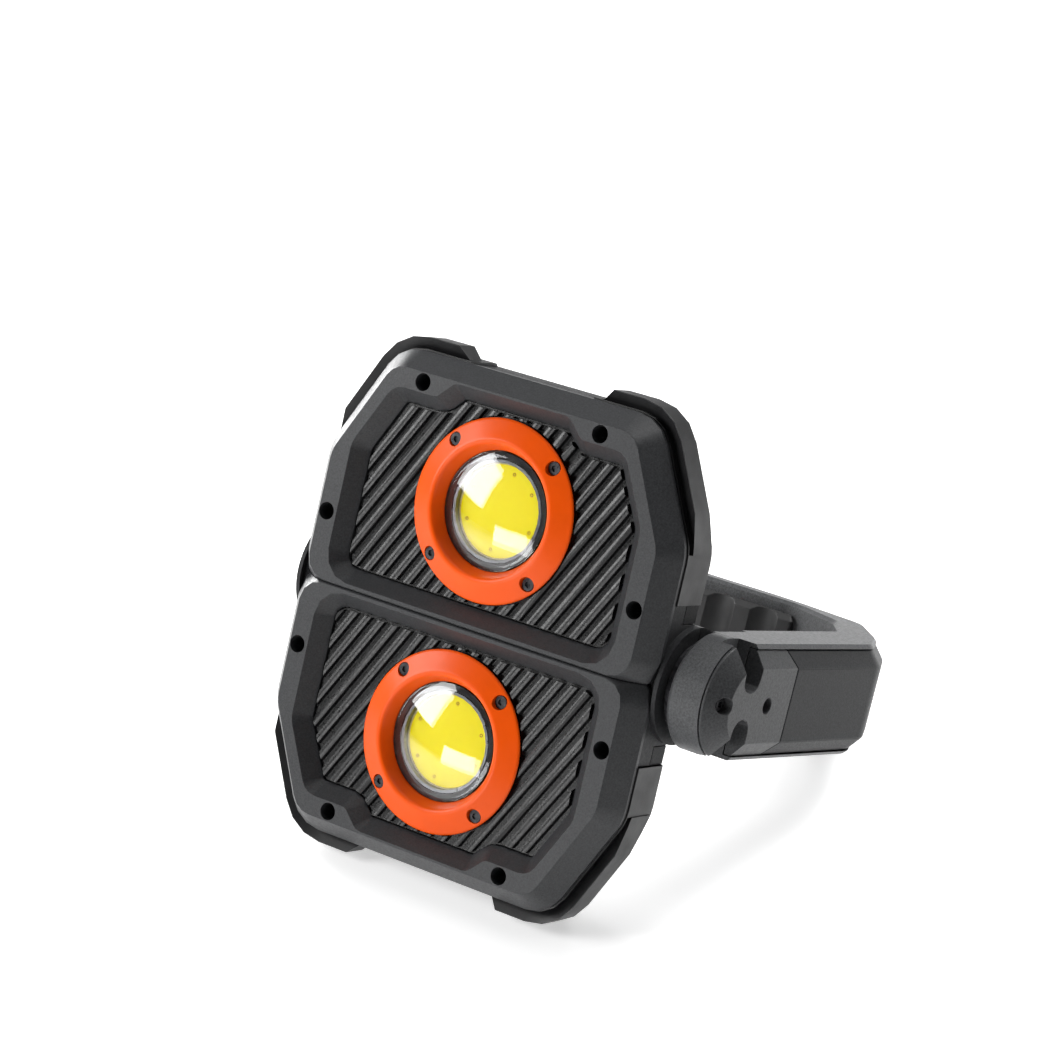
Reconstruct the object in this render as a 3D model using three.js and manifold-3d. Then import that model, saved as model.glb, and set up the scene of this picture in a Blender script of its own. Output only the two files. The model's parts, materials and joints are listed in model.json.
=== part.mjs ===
// Rechargeable work light: two lamp heads in one impact-proof body, hung from the arm of a handle
// whose long cross-bar also props it up. Millimetres, +Z up, the lamps look along -Y, and the
// origin is on the surface it stands on, under the middle of the whole light.
//
// Lamp frame: x to the right, y into the body from the front face, z up along the face.
// Handle frame: x to the right, y along the arm from the pivot, z across the arm.
import * as THREE from "three";
import { mergeVertices } from "three/addons/utils/BufferGeometryUtils.js";
import Module from "manifold-3d";

const wasm = await Module();
wasm.setup();

// ---------- driving dimensions ----------

const LEAN = THREE.MathUtils.degToRad(22.83); // how far the lamp leans back when it stands
const GAP = 0.3; // between pieces that touch

// front face, both heads together
const FACE_HALF = 65.5; // half width
const FACE_TOP = 78.5; // half height
const CHAMFER_Z = FACE_TOP - 34.5; // where the long corner chamfers start
const CHAMFER_X = FACE_HALF - 17.5; // where they meet the top edge
const BEVEL_OUT = 5.7; // how far the frame's bevel spreads
const BEVEL_DEEP = 8; // over this depth
const FRAME_DEEP = 9.5;
const EDGE = 0.45; // small broken edges on the mouldings

// window in each head
const WINDOW_HALF = FACE_HALF - 8.1;
const WINDOW_LOW = 2.2;
const WINDOW_TOP = FACE_TOP - 1.6;
const WINDOW_SHOULDER = FACE_TOP - 7.7; // the lower top edge beside the screw wells
const SHOULDER_X = 28.6;
const WINDOW_SLOPE = 4.4; // how far its walls lean in
const PANEL_Y = 6.4; // depth of the ribbed panel's ground
const PANEL_THICK = 4.8;
const RIB_HIGH = 2.2;
const RIB_WIDE = 3.3;
const RIB_PITCH = 4.85;
const RIB_ANGLE = THREE.MathUtils.degToRad(60.3);

// lamp heads
const HEAD_Z = (WINDOW_LOW + WINDOW_TOP) / 2 + 0.15; // height of each lamp's centre from the middle of the body
const RING_R = 31;
const RING_RIDGE_R = 23.5;
const RING_RIDGE_Y = 0.9;
const RING_EDGE_Y = 4.85;
const RING_BORE_R = 20.2;
const RING_SCREW_R = 27.7; // pitch radius of the four ring screws
const LENS_R = 19.8;
const LENS_EDGE_Y = 5.2;
const LENS_DOME = 3.2;
const LENS_WALL = 1.1;
const GLOW_R = 15.8; // the yellow light-emitting disc
const GLOW_Y = 7.4;
const LED_R = 19.8;
const LED_FACE_Y = 9.1;
const SEAL_IN = 17.4;

// screws
const WELL_R = 3; // wells of the frame screws
const WELL_DEEP = 11.5;
const FRAME_SCREWS = [
  [35.2, FACE_TOP - 3.8],
  [FACE_HALF - 3.6, 23.4],
];
const SHANK_R = 1.45;
const PILOT = 0.3; // clearance round a shank

// housing
const SIDE_INSET = 0.4; // how far the housing's side sits inside the frame's edge
const WALL = 2.4;
const SIDE_WALL = 4.1; // at the front, where the bumpers are let in
const PARTING_Y = 18;
const BACK_EDGE_Y = 26.2; // where the side turns to the back chamfer
const BACK_Y = 31.5;
const PACK_HALF = 56; // battery housing on the back
const PACK_HIGH = 40;
const PACK_BACK_Y = 45.2;
const PACK_CHAMFER = 4;

// corner bumpers
const BUMPER_PROUD = 4.6; // beyond the frame's edge
const SKIRT_PROUD = 0.5;
const POCKET = 2.4; // how deep a bumper is let in
const BUMPER_END_X = 24.4;
const GUARD_END_X = 26.4; // end of its proud part
const GUARD_DEEP = 20; // where that starts to slope down to the back
const BUMPER_END_Z = 27.2;
const BUMPER_REAR_Y = 28;

// pivot
const PIVOT_Y = 27; // behind the front face
const BOSS_R = 20;
const BOSS_FACE_X = FACE_HALF + 7.5;
const HUB_BASE_X = BOSS_FACE_X + 3.5;
const HUB_RIM_X = HUB_BASE_X + 12.5;
const HUB_R = 19.7;
const PLUG_R = 12; // the plug in the boss without a handle
const PLUG_THICK = 2;
const BOLT_R = 4;
const BOLT_HEAD_R = 7;

// handle
const ARM_OUT = HUB_RIM_X + 3.3; // outer face of the rails
const ARM_IN = BOSS_FACE_X + 0.5;
const HANDLE_HALF = 19.7; // half width across the rails
const COVER_X = ARM_OUT + 3.7; // outer face of the cover
const COVER_FLAT = 12.65; // half width of that face
const COVER_HALF = 18;
const BAR_BACK = 150; // rear of the cross-bar's rails, from the pivot
const BAR_FRONT = 137.5;
const BAR_END = FACE_HALF - 7.5; // how far the cross-bar reaches past the middle
const CORNER_Y = 92; // where the arms start to turn in
const CAP_END = 26; // length of the cap beyond the pivot, at its edges
const CAP_POINT = 3.5; // how much longer it is in the middle
const CAP_HOLES = [-13.6, 13.6];
const CAP_HOLE_R = 2.75;
const CAP_SEAT_X = HUB_RIM_X + 2;
const SLOT_TIP = 4.5; // how near the slots come to the pivot's axis
const COVER_STEP_X = ARM_OUT - 0.5; // the cover's chamfered edges start here
const BAR_BEND_X = 30; // the cross-bar's rear bows out between these
const GRIP_PITCH = 18.3; // finger grooves
const GRIP_HALF = 40;
const GRIP_FRONT = 133.5;

// controls on the back
const CONTROL_Z = 60;
const BUTTON_R = 7.5;
const BUTTON_TRAVEL = 1.2;
const PORT_X = 27;
const FLAP_WIDE = 17;
const FLAP_HIGH = 9;
const FLAP_THICK = 1.4;
const BUTTON_PROUD = 1.3;
const BUTTON_FLANGE = 1.2;

// inside
const BOARD_Y = 17;
const CELL_R = 9.1;
const CELL_LONG = 65;
const CELL_Y = 33.2;
const CELL_PITCH = 19;

const FAR = 300; // beyond every piece

// ---------- outlines ----------

// An outline's corners are [across, up, radius]. Each is drawn as an arc of a few steps.
function rounded(corners, steps = 3) {
  const points = [];
  corners.forEach(([x, z, radius], i) => {
    const before = corners[(i + corners.length - 1) % corners.length];
    const after = corners[(i + 1) % corners.length];
    const here = new THREE.Vector2(x, z);
    const u = new THREE.Vector2(before[0] - x, before[1] - z);
    const v = new THREE.Vector2(after[0] - x, after[1] - z);
    if (!radius) {
      points.push(here);
      return;
    }
    const reach = 0.48 * Math.min(u.length(), v.length());
    u.normalize();
    v.normalize();
    const half = Math.acos(THREE.MathUtils.clamp(u.dot(v), -1, 1)) / 2;
    const r = Math.min(radius, reach * Math.tan(half));
    const middle = u.clone().add(v).normalize().multiplyScalar(r / Math.sin(half));
    const centre = here.clone().add(middle);
    const first = here.clone().addScaledVector(u, r / Math.tan(half)).sub(centre);
    const last = here.clone().addScaledVector(v, r / Math.tan(half)).sub(centre);
    const sweep = Math.atan2(first.cross(last), first.dot(last));
    for (let k = 0; k <= steps; k++) {
      const turned = first.clone().rotateAround(new THREE.Vector2(), (sweep * k) / steps);
      points.push(turned.add(centre));
    }
  });
  return points;
}

// Moves every edge of a counter-clockwise outline outwards, and its corner arcs with them.
function grown(corners, by) {
  return corners.map(([x, z, radius], i) => {
    const before = corners[(i + corners.length - 1) % corners.length];
    const after = corners[(i + 1) % corners.length];
    const u = new THREE.Vector2(x - before[0], z - before[1]).normalize();
    const v = new THREE.Vector2(after[0] - x, after[1] - z).normalize();
    const turn = Math.atan2(u.cross(v), u.dot(v));
    const shift = by * Math.tan(turn / 2);
    const moved = new THREE.Vector2(x, z)
      .add(new THREE.Vector2(u.y, -u.x).multiplyScalar(by))
      .addScaledVector(u, shift);
    const r = radius ? Math.max(0.3, radius + Math.sign(turn) * by) : 0;
    return [moved.x, moved.y, r];
  });
}

// The right half of an outline, given upwards, and its mirror image.
function mirrored(half) {
  return [...half, ...half.map(([x, z, r]) => [-x, z, r]).reverse()];
}

// ---------- solids ----------

const AXES = {
  x: (a, b, depth) => [depth, a, b],
  y: (a, b, depth) => [a, depth, b],
  z: (a, b, depth) => [a, b, depth],
};

// A closed solid through levels of outlines, each [points, depth], with equal numbers of points.
function stack(levels, axis = "y") {
  const count = levels[0][0].length;
  const positions = levels.flatMap(([points, depth]) =>
    points.flatMap((p) => AXES[axis](p.x, p.y, depth)),
  );
  const index = [];
  for (let level = 0; level + 1 < levels.length; level++) {
    for (let i = 0; i < count; i++) {
      const a = level * count + i;
      const b = level * count + ((i + 1) % count);
      index.push(a, a + count, b + count, a, b + count, b);
    }
  }
  const top = (levels.length - 1) * count;
  for (const [a, b, c] of THREE.ShapeUtils.triangulateShape(levels[0][0], [])) {
    index.push(a, b, c);
  }
  for (const [a, b, c] of THREE.ShapeUtils.triangulateShape(levels.at(-1)[0], [])) {
    index.push(top + a, top + c, top + b);
  }
  const geometry = new THREE.BufferGeometry();
  geometry.setAttribute("position", new THREE.Float32BufferAttribute(positions, 3));
  return solid(geometry.setIndex(index));
}

// A geometry as a manifold solid whose faces point out.
function solid(geometry) {
  const bare = new THREE.BufferGeometry();
  bare.setAttribute("position", geometry.getAttribute("position"));
  bare.setIndex(geometry.index);
  const merged = mergeVertices(bare, 1e-4);
  const vertProperties = new Float32Array(merged.attributes.position.array);
  const faces = [];
  for (let i = 0; i < merged.index.count; i += 3) {
    const [a, b, c] = [0, 1, 2].map((k) => merged.index.getX(i + k));
    if (a !== b && b !== c && c !== a) faces.push([a, b, c]);
  }
  const build = (triangles) =>
    new wasm.Manifold(
      new wasm.Mesh({ numProp: 3, vertProperties, triVerts: new Uint32Array(triangles.flat()) }),
    );
  const made = build(faces);
  return made.volume() > 0 ? made : build(faces.map(([a, b, c]) => [a, c, b]));
}

function box(x, y, z) {
  const [wide, deep, high] = [x, y, z].map(([low, top]) => top - low);
  const geometry = new THREE.BoxGeometry(wide, deep, high);
  return solid(geometry.translate((x[0] + x[1]) / 2, (y[0] + y[1]) / 2, (z[0] + z[1]) / 2));
}

// A round bar along y, from one depth to another.
function pin(radius, [from, to], [x, z] = [0, 0], steps = 24) {
  const geometry = new THREE.CylinderGeometry(radius, radius, to - from, steps);
  return solid(geometry.translate(x, (from + to) / 2, z));
}

// A solid of revolution about the y axis; its profile is a list of [radius, depth].
function turned(profile, steps, [x, z] = [0, 0]) {
  const closed = [...profile, profile[0]].map(([r, y]) => new THREE.Vector2(r, y));
  return solid(new THREE.LatheGeometry(closed, steps).translate(x, 0, z));
}

// The same, about the x axis through a pivot depth: its profile is a list of [radius, x].
function axle(profile, steps, y = 0) {
  const closed = [...profile, profile[0]].map(([r, x]) => new THREE.Vector2(r, x));
  const geometry = new THREE.LatheGeometry(closed, steps).rotateZ(-Math.PI / 2);
  return solid(geometry.translate(0, y, 0));
}

function disc(radius, [from, to], steps, y = 0) {
  return axle([[0, from], [radius, from], [radius, to], [0, to]], steps, y);
}

function mirroredX(shape) {
  return solid(geometryOf(shape).scale(-1, 1, 1));
}

const EACH_SIDE = [(shape) => shape, mirroredX];

function geometryOf(shape) {
  const made = shape.getMesh();
  const geometry = new THREE.BufferGeometry();
  geometry.setAttribute("position", new THREE.BufferAttribute(made.vertProperties.slice(), 3));
  return geometry.setIndex(new THREE.BufferAttribute(made.triVerts.slice(), 1));
}

// ---------- materials ----------

const finish = (color, roughness, metalness = 0) =>
  new THREE.MeshStandardMaterial({ color, roughness, metalness });

const FINISH = {
  charcoal: () => finish(0x3b3c3e, 0.62),
  darkShell: () => finish(0x2c2d2f, 0.6),
  rib: () => finish(0x1d1e20, 0.75),
  rubber: () => finish(0x161617, 0.85),
  orange: () => finish(0xd9481c, 0.45),
  clear: () => finish(0xdfe6ea, 0.05),
  silver: () => finish(0xb9bcc0, 0.3, 0.9),
  glow: () => finish(0xe9e21c, 0.5),
  steel: () => finish(0x26272a, 0.35, 0.9),
  aluminium: () => finish(0x9a9da1, 0.45, 0.9),
  board: () => finish(0x1c5a34, 0.5),
  cell: () => finish(0x2f6fb0, 0.4),
  brass: () => finish(0xb08d4a, 0.35, 0.9),
};

function mesh(name, shape, material) {
  const made = new THREE.Mesh(geometryOf(shape), material());
  made.name = name;
  return made;
}

// ---------- front frames and panels ----------

const BODY = mirrored([
  [CHAMFER_X, -FACE_TOP, 8.5],
  [FACE_HALF, -CHAMFER_Z, 12],
  [FACE_HALF, CHAMFER_Z, 12],
  [CHAMFER_X, FACE_TOP, 8.5],
]);
const HEAD = mirrored([
  [FACE_HALF, GAP / 2, 8],
  [FACE_HALF, CHAMFER_Z, 12],
  [CHAMFER_X, FACE_TOP, 8.5],
]);
const WINDOW = mirrored([
  [WINDOW_HALF, WINDOW_LOW, 9.5],
  [WINDOW_HALF, CHAMFER_Z + 4.5, 10],
  [CHAMFER_X - 2.3, WINDOW_SHOULDER, 6],
  [SHOULDER_X, WINDOW_SHOULDER, 4],
  [SHOULDER_X - (WINDOW_TOP - WINDOW_SHOULDER), WINDOW_TOP, 4],
]);
const WALL_FOOT_Y = PANEL_Y - 1; // where the window's leaning walls end
const SIDE = BEVEL_OUT - SIDE_INSET; // growth of the housing's side over the face
const SCREW_POST_Y = WELL_DEEP + 2 + GAP;
const BUTTON_FLANGE_Y = BACK_Y - WALL - GAP;
const GAUGE = [
  [-PORT_X - 8, CONTROL_Z - 1.6, 1.5],
  [-PORT_X + 8, CONTROL_Z - 1.6, 1.5],
  [-PORT_X + 8, CONTROL_Z + 1.6, 1.5],
  [-PORT_X - 8, CONTROL_Z + 1.6, 1.5],
];

function screwPlaces() {
  return FRAME_SCREWS.flatMap(([x, z]) => [[x, z], [-x, z]]);
}

function frontFrame() {
  let frame = stack([
    [rounded(grown(HEAD, -EDGE)), 0],
    [rounded(HEAD), EDGE],
    [rounded(grown(HEAD, BEVEL_OUT)), BEVEL_DEEP],
    [rounded(grown(HEAD, BEVEL_OUT)), FRAME_DEEP],
  ]);
  const below = box([-FACE_HALF * 2, FACE_HALF * 2], [-1, FRAME_DEEP + 1], [-FACE_TOP, GAP / 2]);
  const window = stack([
    [rounded(grown(WINDOW, EDGE + 1)), -1],
    [rounded(grown(WINDOW, EDGE)), 0],
    [rounded(WINDOW), EDGE],
    [rounded(grown(WINDOW, -WINDOW_SLOPE)), WALL_FOOT_Y],
    [rounded(grown(WINDOW, -WINDOW_SLOPE)), FRAME_DEEP + 1],
  ]);
  frame = frame.subtract(below).subtract(window);
  const wellWall = 1.3;
  const floor = 2;
  for (const place of screwPlaces()) {
    frame = frame.add(pin(WELL_R + wellWall, [FRAME_DEEP - 1, WELL_DEEP + floor], place));
    frame = frame.subtract(pin(WELL_R, [-1, WELL_DEEP], place));
    frame = frame.subtract(pin(SHANK_R + PILOT, [WELL_DEEP - 1, WELL_DEEP + floor + 1], place, 10));
  }
  return frame;
}

function ribs() {
  const tops = [
    [-RIB_WIDE / 2, RIB_HIGH + 0.6],
    [RIB_WIDE / 2, RIB_HIGH + 0.6],
    [RIB_WIDE * 0.36, RIB_HIGH * 0.25],
    [0, 0],
    [-RIB_WIDE * 0.36, RIB_HIGH * 0.25],
  ];
  const length = 2 * (FACE_HALF + FACE_TOP);
  const count = Math.ceil(length / 2 / RIB_PITCH);
  let all = null;
  for (let k = -count; k <= count; k++) {
    const section = tops.map(([across, deep]) => new THREE.Vector2(across, PANEL_Y - RIB_HIGH + deep));
    const bar = new THREE.ExtrudeGeometry(new THREE.Shape(section), { depth: length, bevelEnabled: false })
      .translate((k + 0.35) * RIB_PITCH, 0, -length / 2)
      .rotateY(Math.PI / 2 - RIB_ANGLE)
      .translate(0, 0, HEAD_Z);
    const rib = solid(bar);
    all = all ? all.add(rib) : rib;
  }
  return all;
}

function heatPanel() {
  const inWindow = grown(WINDOW, -WINDOW_SLOPE - GAP);
  const behindFrame = grown(WINDOW, -2);
  const field = rounded(grown(inWindow, -0.6));
  const ringSeat = [0, HEAD_Z];
  let panel = stack([[rounded(inWindow), PANEL_Y], [rounded(inWindow), PANEL_Y + PANEL_THICK]]);
  const flange = stack([
    [rounded(behindFrame), FRAME_DEEP + GAP],
    [rounded(behindFrame), PANEL_Y + PANEL_THICK],
  ]);
  const ribField = stack([[field, PANEL_Y - 2 * RIB_HIGH], [field, PANEL_Y + 0.6]]);
  const clearOfRing = pin(RING_R + 0.5, [0, PANEL_Y + 1], ringSeat, 36);
  panel = panel.add(flange).add(ribs().intersect(ribField).subtract(clearOfRing));
  panel = panel.subtract(pin(LED_R + 0.4, [0, PANEL_Y + PANEL_THICK + 1], ringSeat, 36));
  for (const place of ringScrewPlaces()) {
    panel = panel.subtract(pin(SHANK_R + PILOT, [0, PANEL_Y + PANEL_THICK + 1], place, 10));
  }
  return panel;
}

// ---------- lamp heads ----------

function ringScrewPlaces() {
  return [0, 1, 2, 3].map((k) => {
    const angle = Math.PI / 4 + (k * Math.PI) / 2;
    return [RING_SCREW_R * Math.cos(angle), HEAD_Z + RING_SCREW_R * Math.sin(angle)];
  });
}

const RING_SCREW_SEAT_Y = 4.3;
const RING_SCREW_HEAD_R = 2.2;

function lensRing() {
  const foot = PANEL_Y - GAP;
  let ring = turned(
    [
      [RING_BORE_R, foot],
      [RING_BORE_R, LENS_EDGE_Y + 0.4],
      [RING_RIDGE_R - 1.2, RING_RIDGE_Y + 0.4],
      [RING_RIDGE_R - 0.3, RING_RIDGE_Y],
      [RING_RIDGE_R + 0.9, RING_RIDGE_Y + 0.4],
      [RING_R - 0.5, RING_EDGE_Y - 0.35],
      [RING_R, RING_EDGE_Y + 0.3],
      [RING_R, foot],
    ],
    40,
    [0, HEAD_Z],
  );
  for (const place of ringScrewPlaces()) {
    ring = ring.subtract(pin(RING_SCREW_HEAD_R + GAP, [-1, RING_SCREW_SEAT_Y], place, 14));
    ring = ring.subtract(pin(SHANK_R + PILOT, [0, foot + 1], place, 10));
  }
  return ring;
}

function lens() {
  const steps = 4;
  const dome = (radius, rise, edge) =>
    Array.from({ length: steps + 1 }, (_, k) => {
      const share = k / steps;
      return [radius * share, edge - rise * (1 - share * share)];
    });
  const outer = dome(LENS_R, LENS_DOME, LENS_EDGE_Y);
  const inner = dome(LENS_R - LENS_WALL, LENS_DOME, LENS_EDGE_Y + LENS_WALL).reverse();
  return turned([...outer, [LENS_R, LENS_EDGE_Y + LENS_WALL], ...inner], 30, [0, HEAD_Z]);
}

function flatRing(inner, outer, [from, to]) {
  return turned([[inner, from], [outer, from], [outer, to], [inner, to]], 28, [0, HEAD_Z]);
}

const LED_BACK_Y = PANEL_Y + PANEL_THICK;

function ledBoard() {
  return pin(LED_R, [LED_FACE_Y, LED_BACK_Y], [0, HEAD_Z], 28).add(
    pin(GLOW_R, [GLOW_Y, LED_FACE_Y + 0.6], [0, HEAD_Z], 28),
  );
}

function headScrew([x, z], headR, seat, headHigh, reach) {
  const head = pin(headR, [seat - headHigh, seat], [x, z], 12);
  const shank = pin(SHANK_R, [seat - 0.2, seat + reach], [x, z], 8);
  const socket = pin(headR * 0.52, [seat - headHigh - 1, seat - headHigh * 0.35], [x, z], 6);
  return head.add(shank).subtract(socket);
}

// ---------- housing and bumpers ----------

const FRONT_Y = FRAME_DEEP + GAP;
const PACK = mirrored([
  [PACK_HALF, -PACK_HIGH, 7],
  [PACK_HALF, PACK_HIGH, 7],
]);
const EAR_Z = BOSS_R + 0.6; // half height of the parting line's step at each pivot

function shell() {
  const backShrink = BACK_Y - BACK_EDGE_Y;
  const outer = stack([
    [rounded(grown(BODY, SIDE)), FRONT_Y],
    [rounded(grown(BODY, SIDE)), BACK_EDGE_Y],
    [rounded(grown(BODY, SIDE - backShrink)), BACK_Y],
  ]);
  const cavity = stack([
    [rounded(grown(BODY, SIDE - SIDE_WALL)), FRONT_Y - 1],
    [rounded(grown(BODY, SIDE - SIDE_WALL)), BACK_EDGE_Y - 1],
    [rounded(grown(BODY, SIDE - SIDE_WALL - backShrink + 2)), BACK_Y - WALL],
  ]);
  const pack = stack([
    [rounded(PACK), BACK_Y - 1],
    [rounded(PACK), PACK_BACK_Y - PACK_CHAMFER],
    [rounded(grown(PACK, -PACK_CHAMFER)), PACK_BACK_Y],
  ]);
  const packCavity = stack([
    [rounded(grown(PACK, -WALL)), BACK_Y - WALL - 1],
    [rounded(grown(PACK, -WALL)), PACK_BACK_Y - PACK_CHAMFER - 0.5],
    [rounded(grown(PACK, -WALL - PACK_CHAMFER + 1)), PACK_BACK_Y - WALL],
  ]);
  const bossStart = PACK_HALF - 2 * WALL;
  const boss = disc(BOSS_R, [bossStart, BOSS_FACE_X], 48, PIVOT_Y);
  const behindFrames = box([0, SIDE + FACE_HALF + GAP + SIDE_INSET], [-1, FRONT_Y], [-BOSS_R, BOSS_R]);
  const pillar = disc(BOLT_R + 5, [bossStart, BOSS_FACE_X - 2], 24, PIVOT_Y);
  const boltHole = disc(BOLT_R + PILOT, [bossStart - 4, BOSS_FACE_X + 1], 24, PIVOT_Y);
  let made = outer.add(pack);
  for (const side of EACH_SIDE) made = made.add(side(boss.subtract(behindFrames)));
  made = made.subtract(cavity).subtract(packCavity);
  for (const side of EACH_SIDE) made = made.add(side(pillar)).subtract(side(boltHole));
  made = made.subtract(mirroredX(disc(PLUG_R + GAP, [BOSS_FACE_X - PLUG_THICK - GAP, FAR], 32, PIVOT_Y)));
  for (const corner of CORNERS) made = made.subtract(placedCorner(bumperPocket(), corner));
  return made;
}

// Front half: in front of the parting line, which steps back to the pivot's axis at each boss.
function midHousing(whole) {
  const front = box([-FAR, FAR], [-FAR, PARTING_Y - GAP / 2], [-FAR, FAR]);
  const ears = box([-FAR, FAR], [-FAR, PIVOT_Y - GAP / 2], [-EAR_Z + GAP / 2, EAR_Z - GAP / 2]);
  return whole.intersect(front.add(ears));
}

function rearHousing(whole) {
  const back = box([-FAR, FAR], [PARTING_Y + GAP / 2, FAR], [-FAR, FAR]);
  const ears = box([-FAR, FAR], [-FAR, PIVOT_Y + GAP / 2], [-EAR_Z - GAP / 2, EAR_Z + GAP / 2]);
  let rear = whole.intersect(back.subtract(ears));
  const post = SHANK_R + 2.6;
  for (const z of [1, -1]) {
    for (const [x, up] of screwPlaces()) {
      const place = [x, up * z];
      rear = rear.add(pin(post, [SCREW_POST_Y, BACK_Y - WALL / 2], place, 16));
      rear = rear.subtract(pin(SHANK_R + PILOT, [SCREW_POST_Y - 1, BACK_Y - WALL - 0.6], place, 10));
    }
  }
  return cutControls(rear);
}

const CORNERS = [
  ["upper_right", 1, 1],
  ["upper_left", -1, 1],
  ["lower_right", 1, -1],
  ["lower_left", -1, -1],
];

// Pieces of the upper right corner are drawn once and mirrored to the others.
function placedCorner(shape, [, across, up]) {
  return solid(geometryOf(shape).scale(across, 1, up));
}

function cornerZone(margin) {
  return box([BUMPER_END_X - margin, FAR], [-1, FAR], [BUMPER_END_Z - margin, FAR]);
}

function bodyCore(growth) {
  return stack([[rounded(grown(BODY, growth)), -2], [rounded(grown(BODY, growth)), FAR]]);
}

function bumperPocket() {
  const behind = box([0, FAR], [BUMPER_REAR_Y + GAP, 2 * FAR], [0, FAR]);
  return cornerZone(GAP).subtract(bodyCore(SIDE - POCKET)).subtract(behind);
}

// The proud part of a bumper ends in a slant on the top edge and tapers out on the chamfer.
function guardZone() {
  const sideX = FACE_HALF + BEVEL_OUT;
  const slant = 20;
  const zone = (endX) => [
    [endX, CHAMFER_Z, 0],
    [sideX + 0.7, CHAMFER_Z, 0],
    [sideX - 7.5, CHAMFER_Z + 63.6, 0],
    [endX + slant, FACE_TOP + BEVEL_OUT + slant, 0],
    [endX, FACE_TOP + BEVEL_OUT, 0],
  ];
  return stack([
    [rounded(zone(GUARD_END_X)), -1],
    [rounded(zone(GUARD_END_X)), GUARD_DEEP],
    [rounded(zone(GUARD_END_X + 6)), BUMPER_REAR_Y],
  ]);
}

function bumper() {
  const lip = BEVEL_OUT + BUMPER_PROUD;
  const rimY = FRONT_Y + 0.4;
  const dishDeep = 2.4;
  const proud = stack([
    [rounded(grown(BODY, lip)), rimY],
    [rounded(grown(BODY, lip)), GUARD_DEEP],
    [rounded(grown(BODY, lip - 7)), BUMPER_REAR_Y],
  ]);
  const dish = stack([
    [rounded(grown(BODY, lip - 0.2)), rimY - 0.01],
    [rounded(grown(BODY, BEVEL_OUT + 0.2)), rimY + dishDeep],
  ]);
  const skirtOut = BEVEL_OUT + SKIRT_PROUD;
  const skirt = stack([
    [rounded(grown(BODY, skirtOut)), FRONT_Y],
    [rounded(grown(BODY, skirtOut)), BACK_EDGE_Y - 0.7],
    [rounded(grown(BODY, skirtOut - 2.5)), BUMPER_REAR_Y],
  ]);
  const aboveSkirt = guardZone();
  const covered = proud.subtract(dish).intersect(aboveSkirt);
  const beside = skirt.intersect(cornerZone(0)).subtract(dish.intersect(aboveSkirt));
  return covered.add(beside).subtract(bodyCore(SIDE - POCKET + GAP));
}

// ---------- inside the body ----------

function heatSink() {
  const plateY = LED_BACK_Y + GAP;
  const plate = mirrored([
    [CHAMFER_X - 4, 10.5 - FACE_TOP, 4],
    [FACE_HALF - 10.5, -CHAMFER_Z - 2, 4],
    [FACE_HALF - 10.5, CHAMFER_Z + 2, 4],
    [CHAMFER_X - 4, FACE_TOP - 10.5, 4],
  ]);
  let sink = stack([[rounded(plate, 2), plateY], [rounded(plate, 2), plateY + 2.2]]);
  for (let x = -48; x <= 48; x += 8) {
    sink = sink.add(box([x - 0.6, x + 0.6], [plateY + 1, plateY + 4.6], [-44, 44]));
  }
  for (const up of [1, -1]) {
    for (const [x, z] of ringScrewPlaces()) {
      sink = sink.subtract(pin(SHANK_R + PILOT, [0, plateY + 6], [x, z * up], 8));
    }
  }
  return sink;
}

const CHIPS = [
  [-18, 12, 12, 12],
  [10, 14, 8, 6],
  [12, -12, 14, 8],
  [-16, -14, 6, 10],
];

function driverBoard() {
  let board = box([-34, 34], [BOARD_Y, BOARD_Y + 1.6], [-30, 30]);
  for (const [x, z, wide, high] of CHIPS) {
    board = board.add(box([x, x + wide], [BOARD_Y + 1, BOARD_Y + 3.4], [z, z + high]));
  }
  return board;
}

function batteryTray() {
  const half = 2 * CELL_PITCH + 1;
  const end = CELL_LONG / 2 + 0.8;
  const wall = 1.8;
  const floorY = CELL_Y - CELL_R - GAP - wall;
  let tray = box([-half, half], [floorY, floorY + wall], [-end - wall, end + wall]);
  for (const low of [end, -end - wall]) {
    tray = tray.add(box([-half, half], [floorY, CELL_Y + 5], [low, low + wall]));
  }
  return tray;
}

function batteryCell(k) {
  const geometry = new THREE.CylinderGeometry(CELL_R, CELL_R, CELL_LONG, 20).rotateX(Math.PI / 2);
  return solid(geometry.translate((k - 1.5) * CELL_PITCH, CELL_Y, 0));
}

// ---------- controls ----------

function controlBoard() {
  const face = BUTTON_FLANGE_Y - BUTTON_FLANGE - BUTTON_TRAVEL - 2;
  const socketEnd = BACK_Y - FLAP_THICK - 2 * GAP;
  const [port, up] = [PORT_X, CONTROL_Z];
  return box([-38, 38], [face - 1.6, face], [up - 7, up + 7])
    .add(box([-3, 3], [face - 0.5, face + 1.6], [up - 3, up + 3]))
    .add(box([port - 4.5, port + 4.5], [face - 0.5, socketEnd], [up - 1.6, up + 1.6]))
    .subtract(box([port - 4, port + 4], [face + 1, socketEnd + 1], [up - 1.1, up + 1.1]));
}

function powerButton() {
  const top = BACK_Y + BUTTON_PROUD;
  const flange = BUTTON_R + 1.3;
  const profile = [
    [0, BUTTON_FLANGE_Y - BUTTON_FLANGE],
    [flange, BUTTON_FLANGE_Y - BUTTON_FLANGE],
    [flange, BUTTON_FLANGE_Y],
    [BUTTON_R, BUTTON_FLANGE_Y],
    [BUTTON_R, top - 0.5],
    [BUTTON_R - 0.5, top],
    [0, top - 0.2],
  ];
  return turned(profile, 32, [0, CONTROL_Z]);
}

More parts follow.
